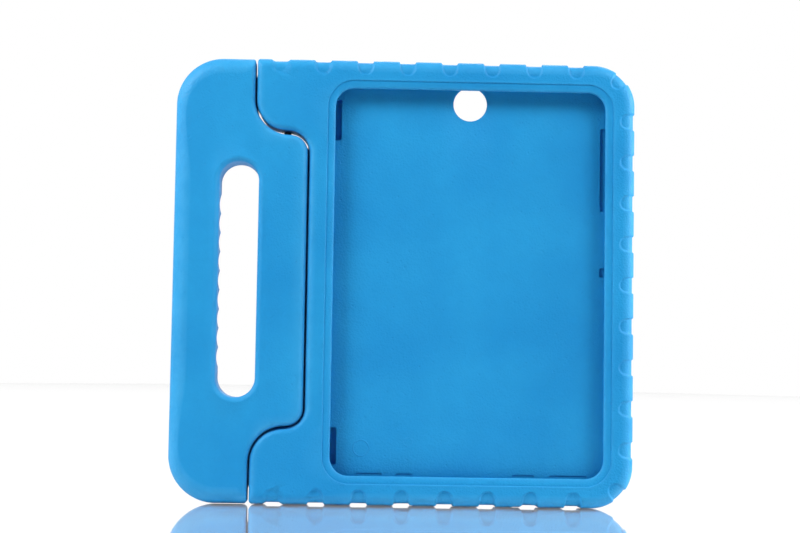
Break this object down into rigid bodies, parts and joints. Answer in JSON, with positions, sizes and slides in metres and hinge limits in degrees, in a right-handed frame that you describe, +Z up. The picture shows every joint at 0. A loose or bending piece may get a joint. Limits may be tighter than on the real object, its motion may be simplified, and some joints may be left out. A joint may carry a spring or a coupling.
{
  "type": "kids tablet case with handle",
  "caption": "Moulded foam tablet case with a lipped pocket, camera hole, grooved edge and a carry handle that folds back on hinge pins to become a stand.",
  "frame": {"origin": "on the ground under the middle of the closed case's outline, halfway through its thickness", "axes": "+X from the handle to the plain side, +Y from the pocket's open face to the back, +Z up along the tablet's long side"},
  "size_m": [0.274, 0.026, 0.264],
  "materials": {
    "foam": "matte closed-cell foam with a soft sheen",
    "pin": "satin black",
    "bush": "satin black"
  },
  "bodies": {
    "case": {"case_body": "foam", "hinge_pin_top": "pin", "hinge_pin_bottom": "pin", "ear_bush_top": "bush", "ear_bush_bottom": "bush"},
    "handle": {"handle": "foam", "tongue_bush_top": "bush", "tongue_bush_bottom": "bush"}
  },
  "joints": [
    {"name": "handle_hinge", "type": "hinge", "parent": "case", "child": "handle", "pos_m": [-0.0708, 0.0035, 0.132], "axis": [0, 0, -1], "range_deg": [0, 110]}
  ]
}
